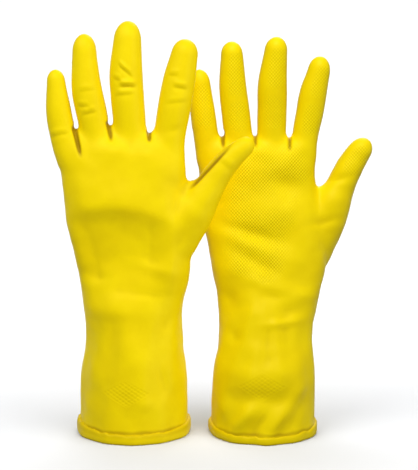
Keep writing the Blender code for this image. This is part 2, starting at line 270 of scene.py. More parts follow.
def webs(bm, form, inset):
    """Film between neighbouring fingers, and between the thumb and the hand."""
    y = -form.palm * form.back
    for x, z, wide, rise in FINGER_WEBS[form.side]:
        rings = []
        for i in range(1, 12):
            s, c = cos(pi * i / 12), sin(pi * i / 12)
            rings.append([Vector((form.x + x + (wide + 2 - inset) * c * cos(2 * pi * k / 24),
                                  y + (8.0 - inset) * c * sin(2 * pi * k / 24),
                                  z - (rise - inset) * s)) for k in range(24)])
        tube(bm, rings)
    (x0, z0), (x1, z1), rise = THUMB_WEBS[form.side]
    start, end = Vector((form.x + x0, y, z0)), Vector((form.x + x1, y - form.palm * 2.5, z1))
    across = (end - start).normalized().cross(Vector((0, 1, 0)))
    rings = []
    for i in range(13):
        t = i / 12
        middle = start.lerp(end, t)
        deep = 11.0 - 6.0 * sin(pi * t)
        rings.append([middle + across * (rise - inset) * cos(2 * pi * k / 24)
                      + Vector((0, (deep - inset) * sin(2 * pi * k / 24), 0)) for k in range(24)])
    tube(bm, rings)


def fused_skin(form, inset, voxel):
    """One skin over the cuff, the hand and the digits, in millimetres, open at the cuff."""
    bm = bmesh.new()
    heights = list(np.arange(-6, 205, 3.0)) + [form.body[-1][0] - d for d in (14, 11, 8, 6, 4, 2.5, 1.2, 0)]
    tube(bm, [form.body_ring(h, inset, 96) for h in heights])
    for digit in form.digits:
        tube(bm, form.digit_rings(digit, inset, 40, 2.5))
    webs(bm, form, inset)
    mesh = bpy.data.meshes.new("form")
    bm.normal_update()
    bmesh.ops.recalc_face_normals(bm, faces=bm.faces)
    bm.to_mesh(mesh)
    bm.free()
    obj = bpy.data.objects.new("form", mesh)
    bpy.context.scene.collection.objects.link(obj)
    mod = obj.modifiers.new("fuse", "REMESH")
    mod.mode, mod.voxel_size = "VOXEL", voxel
    bpy.context.view_layer.update()
    fused = bpy.data.meshes.new_from_object(obj.evaluated_get(bpy.context.evaluated_depsgraph_get()))
    bpy.data.objects.remove(obj, do_unlink=True)
    bpy.data.meshes.remove(mesh)
    return fused


def mesh_arrays(mesh):
    """A mesh's points and edges."""
    co = np.empty(len(mesh.vertices) * 3)
    mesh.vertices.foreach_get("co", co)
    edges = np.empty(len(mesh.edges) * 2, int)
    mesh.edges.foreach_get("vertices", edges)
    return co.reshape(-1, 3), edges.reshape(-1, 2)


def vertex_normals(mesh):
    """A mesh's normals at its points."""
    normals = np.empty(len(mesh.vertices) * 3, np.float32)
    mesh.vertex_normals.foreach_get("vector", normals)
    return normals.reshape(-1, 3).astype(float)


def relax(values, edges, factor, times):
    """Laplacian smoothing of per-vertex values over the mesh. factor may differ from point to point."""
    a, b = edges[:, 0], edges[:, 1]
    count = len(values)
    degree = np.maximum(np.bincount(np.concatenate([a, b]), minlength=count), 1)[:, None]
    for _ in range(times):
        total = np.stack([np.bincount(a, weights=values[b, c], minlength=count)
                          + np.bincount(b, weights=values[a, c], minlength=count)
                          for c in range(values.shape[1])], 1)
        values = values + factor * (total / degree - values)
    return values


def digit_coordinates(form, co):
    """For each point: nearest digit, sideways place in half widths, and height on the digit's own line."""
    names = list(form.digits)
    best = np.full(len(co), 99.0)
    digit, side, height = np.full(len(co), -1), np.zeros(len(co)), np.zeros(len(co))
    for n, name in enumerate(names):
        points, tip, _, _ = form.digits[name]
        line = np.arange(points[0][1], tip[1] + 0.01, 0.5)
        rows = [form.section(name, h) for h in line]
        middle = np.array([[r[0].x, r[0].z] for r in rows])
        half = np.array([r[4] for r in rows])
        across = np.array([[r[2].x, r[2].z] for r in rows])
        onward = np.array([[r[1].x, r[1].z] for r in rows])
        flat = co[:, [0, 2]]
        near = np.argmin(((flat[:, None, :] - middle[None, ::8]) ** 2).sum(2), 1) * 8
        for shift in (4, 2, 1):
            options = np.clip(np.stack([near - shift, near, near + shift], 1), 0, len(line) - 1)
            gaps = ((flat[:, None, :] - middle[options]) ** 2).sum(2)
            near = options[np.arange(len(co)), gaps.argmin(1)]
        offset = ((flat - middle[near]) * across[near]).sum(1) / half[near]
        gap = np.linalg.norm(flat - middle[near], axis=1) / half[near]
        level = line[near] + ((flat - middle[near]) * onward[near]).sum(1) * onward[near, 1]
        closer = gap < best
        best[closer], digit[closer] = gap[closer], n
        side[closer], height[closer] = offset[closer], level[closer]
    return digit, side, height, best


# ----------------------------------------------------------------------------------------------------
# Relief: folds, creases and the grip pattern, as heights above the smooth skin in millimetres
# ----------------------------------------------------------------------------------------------------
# Soft lumps and hollows: x from the glove's centre, height, half sizes, turn in degrees, rise
BACK_LUMPS = [
    (26, 202, 13, 12, 0, 1.6), (-32, 190, 16, 9, 0, 0.9), (-47, 207, 6, 8, 0, 0.8),
    (-12, 213, 10, 7, 0, 1.1), (13, 210, 8, 7, 0, 0.9), (31, 228, 6, 3, 12, -0.7),
    (-29, 215, 5, 9, 10, -0.7), (0, 219, 5, 7, 0, -0.6), (-27, 121, 9, 4.5, 0, -1.2),
    (-16, 99, 18, 9, 0, 1.5), (8, 110, 20, 4, -8, -0.9), (-34, 125, 10, 5, 25, -1.2),
    (20, 128, 15, 4.5, -14, 1.2), (26, 88, 5, 12, 8, -1.0), (-4, 68, 13, 20, 0, 1.1),
    (-29, 66, 8, 14, 14, -1.2), (24, 46, 4, 11, 14, -1.1), (-28, 36, 9, 7, -30, -1.0),
    (12, 30, 8, 6, 20, 0.7), (44, 170, 9, 16, -32, 0.9), (36, 148, 6, 15, -34, -1.1),
    (34, 186, 10, 5, -40, -0.8), (-44, 150, 6, 16, -12, 0.8),
]
PALM_LUMPS = [
    (16, 186, 13, 9, -25, -2.5), (6, 164, 24, 12, 0, 3.0), (-22, 206, 8, 8, 0, 1.2),
    (-3, 211, 8, 6, 0, 1.3), (24, 212, 8, 6, 0, 1.0), (-8, 150, 25, 4.5, -17, -1.8),
    (-6, 140, 22, 4, -20, 0.9), (-6, 129, 20, 4.5, -26, -1.7), (-8, 116, 18, 5, -22, 0.9),
    (33, 152, 12, 20, -22, 2.2), (27, 116, 10, 12, 20, -2.0), (-26, 101, 9, 12, 0, -2.4),
    (-5, 90, 11, 12, 15, 2.3), (10, 106, 12, 5.0, 3, -1.3), (24, 106, 17, 4.5, -14, 1.0),
    (12, 86, 13, 3.2, 6, 1.4), (20, 95, 9, 5, 0, -1.6), (-8, 66, 13, 7, -38, 1.0),
    (-22, 76, 8, 5, -30, -1.1), (28, 74, 8, 10, 0, -1.0), (46, 158, 12, 3.5, 10, -1.0),
    (55, 189, 9, 2.8, 12, -1.0), (50, 174, 9, 7, -30, 1.4), (-33, 170, 8, 22, 5, -0.8),
]
# Dents of a cuff that has been stood on its bead, on the camera's side of the right glove
CUFF_DENTS = [
    (-3, 33, 23, 7, 0, -3.2), (-17, 17, 4.5, 15, -38, 2.4), (-4, 16, 4.5, 14, -36, -1.8),
    (9, 17, 4.5, 15, -36, 2.2), (23, 20, 5, 13, -24, -1.4), (28, 37, 7, 6, 8, 1.2),
    (-29, 24, 5, 12, 10, 1.0), (0, 50, 24, 7, 0, 1.3),
]
# Creases over the middle joints: digit, height, sideways middle and half length in half widths, slope, depth
CREASES = {
    "left": [
        ("middle", 259.2, 0.1, 0.45, -0.03, 1.6), ("middle", 270.0, 0.0, 0.4, -0.75, 0.9),
        ("middle", 253.5, -0.1, 0.5, 0.06, 0.6), ("middle", 264.0, -0.5, 0.25, -0.3, 0.6),
        ("ring", 240.3, -0.05, 0.42, 0.05, 0.8), ("ring", 245.5, -0.3, 0.35, -0.2, 0.6),
        ("ring", 256.0, 0.1, 0.5, 0.0, 0.4), ("index", 258.5, 0.15, 0.4, 0.0, 0.9),
        ("index", 266.0, -0.4, 0.3, 0.2, 0.5), ("index", 248.0, 0.1, 0.6, 0.25, 0.4),
        ("little", 225.0, -0.2, 0.7, 0.0, 0.6), ("thumb", 203.0, 0.0, 0.5, 0.0, 0.5),
    ],
    "right": [
        ("middle", 254.0, 0.0, 0.5, 0.05, 1.0), ("middle", 260.5, -0.1, 0.4, -0.2, 0.6),
        ("ring", 247.5, 0.05, 0.5, 0.0, 0.9), ("ring", 241.5, -0.1, 0.4, 0.15, 0.5),
        ("index", 248.0, 0.0, 0.5, 0.05, 0.9), ("index", 254.5, -0.1, 0.4, -0.15, 0.5),
        ("little", 242.0, 0.0, 0.5, 0.0, 0.7), ("thumb", 200.0, 0.0, 0.5, 0.0, 0.6),
    ],
}
# Clefts at the finger roots, and the turned-in edge of the left thumb over its web, all also darkened with
# painted shade, the thumb's as its shaded edge:
# start (x, height), end (x, height), depth, half width
CLEFTS = {
    "left": [((-40.3, 230), (-35.0, 208), 2.0, 1.6), ((-15.9, 234), (-13.0, 219), 1.3, 1.6),
             ((13.4, 228), (14.2, 219), 1.4, 1.6), ((45, 188.3), (77, 222.5), 1.2, 1.5)],
    "right": [((-31.5, 225), (-30.5, 211), 1.2, 1.6), ((-6.8, 223), (-6.8, 212), 0.9, 1.6),
              ((18.8, 220), (18.4, 209), 0.9, 1.6)],
}
# Grip pattern on the finger pads: digit, lower and upper height, sideways middle in half widths
PADS = [("little", 226, 262, 0.1), ("ring", 224, 247, 0.15), ("ring", 250, 283, 0.25),
        ("middle", 226, 252, 0.1), ("middle", 256, 288, 0.2), ("index", 222, 246, 0.2),
        ("index", 249, 274, 0.35), ("thumb", 193, 214, 0.1)]


def lumps(rows, x, z):
    """Sum of soft turned lumps."""
    total = np.zeros(len(x))
    for cx, cz, wide, tall, turn, rise in rows:
        c, s = cos(radians(turn)), sin(radians(turn))
        u, v = (x - cx) * c + (z - cz) * s, (z - cz) * c - (x - cx) * s
        total += rise * np.exp(-(u / wide) ** 2 - (v / tall) ** 2)
    return total


def perlin(co, size, seed):
    """Smooth noise at points, about -1 to 1."""
    shift = Vector((seed * 13.7, seed * 5.1, seed * 9.3))
    return np.array([noise.noise(Vector(p) / size + shift) for p in co])


def faces_palm(form, normals):
    """How much each point faces the palm side, and how much it faces the back."""
    out = normals[:, 1] * form.palm
    return ramp(out, 0.0, 0.8), ramp(-out, 0.0, 0.8)


def inward(form, x, z):
    """1 over the middle of the hand, falling to 0 at its two edges."""
    rows = np.array(form.body)
    low, high = np.interp(z, rows[:, 0], rows[:, 1]), np.interp(z, rows[:, 0], rows[:, 2])
    return 1 - ramp(np.abs(x - (low + high) / 2) / (high - low) * 2, 0.62, 1.02)


def back_of_hand(form, x, z):
    """The ridge over the knuckle bones and the long hollow under it."""
    edge = 173 - 8 * ((x + 12) / 36) ** 2
    over, under = (np.hypot(z - edge, 4) + z - edge) / 2, (np.hypot(z - edge, 4) + edge - z) / 2
    ridge = 4.2 * np.exp(-(over / 20) ** 2 - under / 14) * (1 - ramp(x, 28, 44))
    hollow = -7.2 * (1 - np.exp(-under / 18)) * ramp(z, 92, 140) * (1 - ramp(x, 14, 32))
    return (ridge + hollow) * inward(form, x, z)


def folds(form, co, normals):
    """Large relief: the hand's own lumps and hollows and the film's slack."""
    x, z = co[:, 0] - form.x, co[:, 2]
    palm, back = faces_palm(form, normals)
    rise = back * (lumps(BACK_LUMPS, x, z) + back_of_hand(form, x, z)) + palm * lumps(PALM_LUMPS, x, z)
    if form.side == "right":
        rise += palm * lumps(CUFF_DENTS, x, z)
    cuff = 1 - ramp(z, 70, 110)
    angle = np.arctan2(co[:, 1], x)
    rise += cuff * ramp(z, 2, 40) * 0.45 * np.sin(angle * 7 + z * 0.035 + form.x)
    rise += cuff * 0.3 * np.sin(angle * 11 - z * 0.06)
    rise += FLARE * (1 - ramp(z, 1, 11))
    rise += (0.75 * perlin(co, 24.0, 1) + 0.3 * perlin(co, 9.0, 2)) * (1 - 0.65 * ramp(z, 205, 235))
    return rise


def crease(distance, depth):
    """Profile across a crease: a groove, deepest on its upper side, between two low lips."""
    groove = np.exp(-(distance / np.where(distance > 0, 1.1, 2.2)) ** 2)
    return depth * (0.7 * np.exp(-((distance - 3.4) / 1.9) ** 2) - 0.6 * groove)


def creases(form, normals, place):
    """Short creases over the backs of the middle joints."""
    digit, side, height, _ = place
    names = list(form.digits)
    back = faces_palm(form, normals)[1]
    rise = np.zeros(len(digit))
    for name, level, middle, reach, slope, depth in CREASES[form.side]:
        half = form.centre(name, level)[1]
        here = (digit == names.index(name)) & (np.abs(height - level) < 12)
        sideways = side - middle
        fall = (height - level) - slope * sideways * half + 1.2 * sideways ** 2
        rise += here * crease(fall, depth) * np.exp(-(sideways / reach) ** 4)
    return rise * back


def clefts(form, co):
    """Narrow clefts at the roots of the digits, on both faces, 0 to 1 times their depth."""
    x, z = co[:, 0] - form.x, co[:, 2]
    total = np.zeros(len(x))
    for (x0, z0), (x1, z1), depth, wide in CLEFTS[form.side]:
        length = np.hypot(x1 - x0, z1 - z0)
        along = ((x - x0) * (x1 - x0) + (z - z0) * (z1 - z0)) / length ** 2
        aside = ((x - x0) * (z1 - z0) - (z - z0) * (x1 - x0)) / length
        ends = ramp(along, -0.15, 0.1) * (1 - ramp(along, 0.5, 1.05))
        total += depth * ends * np.exp(-(aside / wide) ** 2)
    return total


def net_mask(form, co, normals, place):
    """Where the grip pattern covers the palm and the finger pads."""
    digit, side, height, _ = place
    x, z = co[:, 0] - form.x, co[:, 2]
    palm = ramp(normals[:, 1] * form.palm, 0.45, 0.75)
    low = np.interp(z, [112, 125, 177, 214], [-14, -31, -31, -17])
    high = np.interp(z, [112, 125, 150, 172, 190, 214], [8, 16, 20, 26, 36, 33])
    hand = ramp(x, low - 3, low + 12) * (1 - ramp(x, high - 10, high + 6))
    hand *= ramp(z, 108, 124) * (1 - ramp(z, 204, 220))
    hand *= 1 - 0.7 * np.exp(-((x - 17) / 19) ** 2 - ((z - 175) / 12) ** 2)
    names = list(form.digits)
    pads = np.zeros(len(x))
    for name, low, high, middle in PADS:
        u = np.abs(side - middle) / 0.72
        v = np.abs(height - (low + high) / 2) / ((high - low) / 2 + 1)
        here = (digit == names.index(name)) * (1 - ramp(u ** 3 + v ** 3, 0.4, 1.1))
        pads = np.maximum(pads, 0.65 * here)
    patchy = 0.8 + 0.35 * perlin(co, 14.0, 5)
    return np.clip(palm * patchy * np.maximum(hand * (z < 222), pads), 0, 1)


def net(co):
    """Grip pattern: small raised diamonds between two sets of slanting grooves."""
    x, z = co[:, 0], co[:, 2]
    p = (x * sin(NET_SLANT) + z * cos(NET_SLANT)) / NET_PITCH
    q = (x * sin(NET_SLANT) - z * cos(NET_SLANT)) / NET_PITCH
    return NET_RISE * (np.cos(2 * pi * p) + np.cos(2 * pi * q)) / 2


def cuff_mark(form, co, normals):
    """Plain embossed diamond of fine lines on the camera's side of the cuff."""
    x, z = co[:, 0] - form.x, co[:, 2]
    near = ramp(-normals[:, 1], 0.5, 0.8)
    x, z = x - CUFF_PATCH[form.side][0], z - CUFF_PATCH[form.side][1]
    u, v = np.abs(x) / PATCH_HALF[0], np.abs(z) / PATCH_HALF[1]
    inside = 1 - ramp(u + v, 0.86, 0.94)
    rim = np.exp(-((u + v - 0.97) / 0.05) ** 2)
    p, q = x / 2.2, z / 1.5
    fine = 0.11 * (np.cos(pi * (p + q)) + np.cos(pi * (p - q))) / 2
    return near * (inside * fine + 0.06 * rim)


# ----------------------------------------------------------------------------------------------------
# Pieces
# ----------------------------------------------------------------------------------------------------
class Skin:
    """A finished skin as arrays, to be divided into pieces."""

    def __init__(self, form, mesh):
        self.form = form
        self.co, self.edges = mesh_arrays(mesh)
        self.normals = vertex_normals(mesh)
        count, loops = len(mesh.polygons), len(mesh.loops)
        self.total, self.corner = np.empty(count, int), np.empty(loops, int)
        mesh.polygons.foreach_get("loop_total", self.total)
        mesh.loops.foreach_get("vertex_index", self.corner)
        self.start = np.concatenate([[0], np.cumsum(self.total)[:-1]])
        centres = np.empty(count * 3)
        mesh.polygons.foreach_get("center", centres)
        self.centres = centres.reshape(-1, 3)
        facing = np.empty(count * 3)
        mesh.polygons.foreach_get("normal", facing)
        self.facing = facing.reshape(-1, 3)[:, 1]
        self.piece = self.divide()

    def divide(self):
        """The piece name of every face."""
        form, centres = self.form, self.centres
        digit, _, _, gap = digit_coordinates(form, centres)
        front = np.where(self.facing * form.palm > 0, "palm", "back")
        piece = np.where(centres[:, 2] < WRIST_BEND[0] - 1.2, "cuff", front).astype("U16")
        for n, name in enumerate(form.digits):
            first, _, second, _ = form.cuts(name)
            mine = (digit == n) & (gap < 1.6)
            for level, label in ((first, name + "_base"), (second, name + "_tip")):
                if level is not None:
                    here, along = form.section(name, level)[:2]
                    beyond = (centres - np.array(here)) @ np.array(along) > 0
                    piece[mine & beyond] = name if second is None else label
        return piece

    def build(self, label, name, extra, inward=False):
        """A mesh object of one piece, in metres, that keeps the whole skin's normals."""
        chosen = np.flatnonzero(self.piece == label)
        total = self.total[chosen]
        loops = np.repeat(self.start[chosen] - np.concatenate([[0], np.cumsum(total)[:-1]]), total)
        corner = self.corner[loops + np.arange(total.sum())]
        used, corner = np.unique(corner, return_inverse=True)
        mesh = bpy.data.meshes.new(name)
        mesh.vertices.add(len(used))
        mesh.vertices.foreach_set("co", (self.co[used] * MM).ravel())
        mesh.loops.add(len(corner))
        mesh.loops.foreach_set("vertex_index", corner)
        mesh.polygons.add(len(chosen))
        mesh.polygons.foreach_set("loop_start", np.concatenate([[0], np.cumsum(total)[:-1]]))
        mesh.update(calc_edges=True)
        mesh.validate()
        for key, values in extra.items():
            layer = mesh.attributes.new(key, "FLOAT", "POINT")
            layer.data.foreach_set("value", values[used].astype(np.float32))
        mesh.shade_smooth()
        mesh.normals_split_custom_set_from_vertices(self.normals[used].tolist())
        if inward:
            mesh.flip_normals()
        obj = bpy.data.objects.new(name, mesh)
        bpy.context.scene.collection.objects.link(obj)
        return obj


def set_coordinates(mesh, co):
    """Move a mesh's points."""
    mesh.vertices.foreach_set("co", co.ravel())
    mesh.update()


def trim_foot(mesh, height):
    """Cut the skin off level above the floor."""
    bm = bmesh.new()
    bm.from_mesh(mesh)
    bmesh.ops.bisect_plane(bm, geom=bm.verts[:] + bm.edges[:] + bm.faces[:], plane_co=(0, 0, height),
                           plane_no=(0, 0, 1), clear_inner=True)
    bm.to_mesh(mesh)
    bm.free()


def refine(mesh, wanted):
    """Divide the chosen faces once, for fine relief."""
    bm = bmesh.new()
    bm.from_mesh(mesh)
    bm.faces.ensure_lookup_table()
    edges = {e for i in np.flatnonzero(wanted) for e in bm.faces[i].edges}
    bmesh.ops.subdivide_edges(bm, edges=list(edges), cuts=1, use_grid_fill=True)
    bm.to_mesh(mesh)
    bm.free()


def smooth_folded(form, inset, voxel, foot):
    """The skin with its large folds."""
    mesh = fused_skin(form, inset, voxel)
    co, edges = mesh_arrays(mesh)
    x, z = co[:, 0] - form.x, co[:, 2]
    roots = bump(z, form.body[-1][0] - 7, 17) + bump(x, 38, 18) * bump(z, 168, 30)
    co = relax(co, edges, 0.6 * np.clip(roots, 0, 1)[:, None], int(60 / voxel))
    set_coordinates(mesh, relax(co, edges, 0.5, 8))
    co, normals = mesh_arrays(mesh)[0], vertex_normals(mesh)
    normals = relax(normals, edges, 0.5, 6)
    normals /= np.maximum(np.linalg.norm(normals, axis=1), 1e-6)[:, None]
    co = co + normals * folds(form, co, normals)[:, None]
    set_coordinates(mesh, relax(co, edges, 0.5, 2))
    trim_foot(mesh, foot)
    return mesh


def film_skin(form):
    """The latex film's outside, with its creases and grip pattern, and the painted shade each point takes
    from how folded it is, from the clefts and from a line over the bead.
    """
    mesh = smooth_folded(form, 0, VOXEL, FILM_FOOT)
    count = len(mesh.polygons)
    centres, facing = np.empty(count * 3), np.empty(count * 3)
    mesh.polygons.foreach_get("center", centres)
    mesh.polygons.foreach_get("normal", facing)
    centres, facing = centres.reshape(-1, 3), facing.reshape(-1, 3)
    place = digit_coordinates(form, centres)
    fine = net_mask(form, centres, facing, place) > 0.01
    fine |= np.abs(creases(form, facing, place)) > 0.02
    fine |= (np.abs(cuff_mark(form, centres, facing)) > 0.01) | (clefts(form, centres) > 0.02)
    refine(mesh, fine)
    co, edges = mesh_arrays(mesh)
    co = np.where((co[:, 2] > 3)[:, None], relax(co, edges, 0.5, 2), co)
    set_coordinates(mesh, co)
    normals = vertex_normals(mesh)
    place = digit_coordinates(form, co)
    grip = net_mask(form, co, normals, place)
    cleft = clefts(form, co)
    rise = grip * net(co) + creases(form, normals, place) + cuff_mark(form, co, normals) - cleft
    co = co + normals * rise[:, None]
    set_coordinates(mesh, co)
    normals = vertex_normals(mesh)
    # Painted shade: darker in the hollows of folds and creases (with a little of the thicker latex's own
    # deeper colour), in the clefts, and along a wavy line over the bead where the roll's edge throws its
    # shadow.
    shape = ((relax(co, edges, 0.5, 14) - co) * normals).sum(1)
    painted_shade = relax(np.clip(shape / 0.5, -1, 1)[:, None], edges, 0.5, 1)[:, 0]
    rim = bump(co[:, 2] - 0.8 * perlin(co, 7.0, 3), BEAD_SHADOW_LINE[form.side], 1.5)
    skin = Skin(form, mesh)
    bpy.data.meshes.remove(mesh)
    return skin, {"painted_shade": np.clip(painted_shade * (1 - grip) + 1.3 * cleft + 0.9 * rim, -1, 1.5), "grip": grip}


def lining_skin(form):
    """The cotton flock lining, which clears the film's clefts."""
    mesh = smooth_folded(form, LINING_IN, LINING_VOXEL, LINING_FOOT)
    co, normals = mesh_arrays(mesh)[0], vertex_normals(mesh)
    set_coordinates(mesh, co - normals * LINING_CLEFT * clefts(form, co)[:, None])
    skin = Skin(form, mesh)
    bpy.data.meshes.remove(mesh)
    return skin


def along_digit(form, digit, level):
    """A bend's plane on a digit: its point in metres and the digit's direction."""
    here, along = form.section(digit, level)[:2]
    return here * MM, along


def bend_digit(obj, form, digit, span):
    """Bake a piece's place into its mesh. The plane where its bend starts is found, but nothing uses it."""
    start, along = along_digit(form, digit, span[0])
    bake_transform(obj)


def hand_pieces(form, skin, extra, kind, mat, nodes, inward=False):
    """Divide a skin into pieces that stand in for the CAD parts they hide. kind names them."""
    side = form.side
    made = []

    def piece(label, name):
        """Build one piece and give it its material and slot."""
        obj = skin.build(label, f"{side}_{name}_{kind}", extra, inward)
        obj.data.materials.append(mat)
        made.append(obj)
        return obj

    obj = piece("cuff", "cuff")
    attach(obj, side + "_cuff")
    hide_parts(*nodes(side, "cuff"))
    for label in ("palm", "back"):
        obj = piece(label, label)
        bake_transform(obj)
        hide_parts(*nodes(side, "hand"))
    for digit in form.digits:
        _, lower, second, upper = form.cuts(digit)
        if second is None:
            obj = piece(digit, digit)
            bend_digit(obj, form, digit, lower)
            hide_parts(*nodes(side, digit))
            continue
        obj = piece(digit + "_base", digit + "_base")
        bend_digit(obj, form, digit, lower)
        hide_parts(*nodes(side, digit + "_base"))
        obj = piece(digit + "_tip", digit + "_tip")
        bend_digit(obj, form, digit, upper)
        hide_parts(*nodes(side, digit + "_tip"))
    return made


def film_nodes(side, part):
    """CAD nodes that a film piece stands for."""
    if part == "cuff":
        return [side + "_cuff"]
    if part == "hand":
        return [side + "_wrist_band", side + "_hand"]
    if part == "thumb":
        return [side + "_thumb", side + "_thumb_knuckle_band"]
    digit, end = part.split("_")
    band = "_knuckle_band" if end == "base" else "_middle_band"
    return [f"{side}_{part}", f"{side}_{digit}{band}"]


def lining_nodes(side, part):
    """CAD nodes that a lining piece stands for."""
    return [f"{side}_{'hand' if part == 'cuff' else part.split('_')[0]}_lining"]


def bead_piece(form, mat):
    """Rolled bead round the cuff opening, a little uneven like the real roll."""
    sides, around = 20, 180
    tall, wide, lift = BEAD[form.side]
    ring = np.array([tuple(v) for v in form.body_ring(5.0, 0, around)])
    tangent = np.roll(ring, -1, 0) - np.roll(ring, 1, 0)
    outward = np.stack([tangent[:, 1], -tangent[:, 0], 0 * tangent[:, 0]], 1)
    outward /= np.linalg.norm(outward, axis=1)[:, None]
    ring = ring + outward * folds(form, ring, outward)[:, None]
    bm = bmesh.new()
    made = []
    for i in range(around):
        wave = perlin([ring[i] * (1, 1, 0)], 7.0, 3)[0] + 0.6 * perlin([ring[i] * (1, 1, 0)], 3.2, 4)[0]
        h = tall * (1 + 0.16 * wave + lift * ((ring[i, 0] - form.x) / 40) ** 4)
        w = wide * (1 + 0.06 * wave)
        made.append([])
        for k in range(sides):
            c, s = cos(2 * pi * k / sides), sin(2 * pi * k / sides)
            c, s = np.sign(c) * abs(c) ** 0.7, np.sign(s) * abs(s) ** 0.7
            x, y = ring[i, :2] + outward[i, :2] * (w * c - BEAD_IN)
            made[i].append(bm.verts.new((x, y, max(h + h * s, 0.05))))
    for i in range(around):
        a, b = made[i], made[(i + 1) % around]
        for k in range(sides):
            bm.faces.new((a[k], b[k], b[(k + 1) % sides], a[(k + 1) % sides]))
    bmesh.ops.recalc_face_normals(bm, faces=bm.faces)
    bmesh.ops.scale(bm, vec=(MM, MM, MM), verts=bm.verts)
    mesh = bpy.data.meshes.new(form.side + "_bead_roll")
    bm.to_mesh(mesh)
    bm.free()
    level = mesh_arrays(mesh)[0][:, 2] / MM
    painted_shade = mesh.attributes.new("painted_shade", "FLOAT", "POINT")
    painted_shade.data.foreach_set("value", 0.08 + 0.45 * ramp(level, 3.5, 7))      # painted shade, darker on top where the lights fall most
    mesh.shade_smooth()
    mesh.materials.append(mat)
    obj = bpy.data.objects.new(form.side + "_bead_roll", mesh)
    bpy.context.scene.collection.objects.link(obj)
    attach(obj, form.side + "_cuff")
    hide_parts(form.side + "_cuff_bead")
    return obj


# ----------------------------------------------------------------------------------------------------
# Materials
# ----------------------------------------------------------------------------------------------------
class Nodes:
    """Short hand for building a material's nodes."""

    def __init__(self, name):
        self.mat = bpy.data.materials.new(name)
        self.mat.use_nodes = True
        self.tree = self.mat.node_tree
        self.shader = self.tree.nodes["Principled BSDF"]

    def add(self, kind, **values):
        """Add a node and set its properties."""
        node = self.tree.nodes.new(kind)
        for key, value in values.items():
            setattr(node, key, value)
        return node

    def link(self, source, target):
        """Join two sockets."""
        self.tree.links.new(source, target)

    def noise(self, vector, scale, detail=3.0, rough=0.5):
        """Noise, 0 to 1."""
        node = self.add("ShaderNodeTexNoise")
        node.inputs["Scale"].default_value = scale
        node.inputs["Detail"].default_value = detail
        node.inputs["Roughness"].default_value = rough
        self.link(vector, node.inputs["Vector"])
        return node.outputs["Fac"]

    def ramp(self, source, *stops):
        """Colour ramp through (place, colour) stops."""
        node = self.add("ShaderNodeValToRGB")
        elements = node.color_ramp.elements
        while len(elements) < len(stops):
            elements.new(0.5)
        for element, (place, colour) in zip(elements, stops):
            element.position = place
            element.color = (*colour, 1.0) if len(colour) == 3 else (colour[0],) * 3 + (1.0,)
        self.link(source, node.inputs["Fac"])
        return node.outputs["Color"]

    def mix(self, factor, a, b, mode="MIX"):
        """Mix two colours. Each argument is a value, a colour or a socket."""
        node = self.add("ShaderNodeMix", data_type="RGBA", blend_type=mode)
        for socket, value in ((node.inputs[0], factor), (node.inputs[6], a), (node.inputs[7], b)):
            if isinstance(value, (int, float)):
                socket.default_value = value
            elif isinstance(value, tuple):
                socket.default_value = (*value, 1.0)
            else:
                self.link(value, socket)
        return node.outputs[2]

    def map(self, source, low, high, to_low, to_high):
        """Map one range of a value onto another, and clamp it."""
        node = self.add("ShaderNodeMapRange")
        for key, value in (("From Min", low), ("From Max", high), ("To Min", to_low), ("To Max", to_high)):
            node.inputs[key].default_value = value
        self.link(source, node.inputs["Value"])
        return node.outputs["Result"]

    def bump(self, height, distance, strength, normal=None):
        """Bump on top of another normal."""
        node = self.add("ShaderNodeBump")
        node.inputs["Distance"].default_value = distance
        node.inputs["Strength"].default_value = strength
        self.link(height, node.inputs["Height"])
        if normal is not None:
            self.link(normal, node.inputs["Normal"])
        return node.outputs["Normal"]


def net_nodes(n, place):
    """The grip pattern again as a shader height, -1 to 1, for what the mesh is too coarse to hold."""
    waves = []
    for sign in (1, -1):
        turn = 2 * pi / (NET_PITCH * MM)
        dot = n.add("ShaderNodeVectorMath", operation="DOT_PRODUCT")
        dot.inputs[1].default_value = (sin(NET_SLANT) * turn, 0, sign * cos(NET_SLANT) * turn)
        n.link(place, dot.inputs[0])
        wave = n.add("ShaderNodeMath", operation="COSINE")
        n.link(dot.outputs["Value"], wave.inputs[0])
        waves.append(wave.outputs[0])
    total = n.add("ShaderNodeMath", operation="ADD")
    n.link(waves[0], total.inputs[0])
    n.link(waves[1], total.inputs[1])
    grip = n.add("ShaderNodeAttribute", attribute_name="grip").outputs["Fac"]
    out = n.add("ShaderNodeMath", operation="MULTIPLY")
    n.link(total.outputs[0], out.inputs[0])
    n.link(grip, out.inputs[1])
    return out.outputs[0]


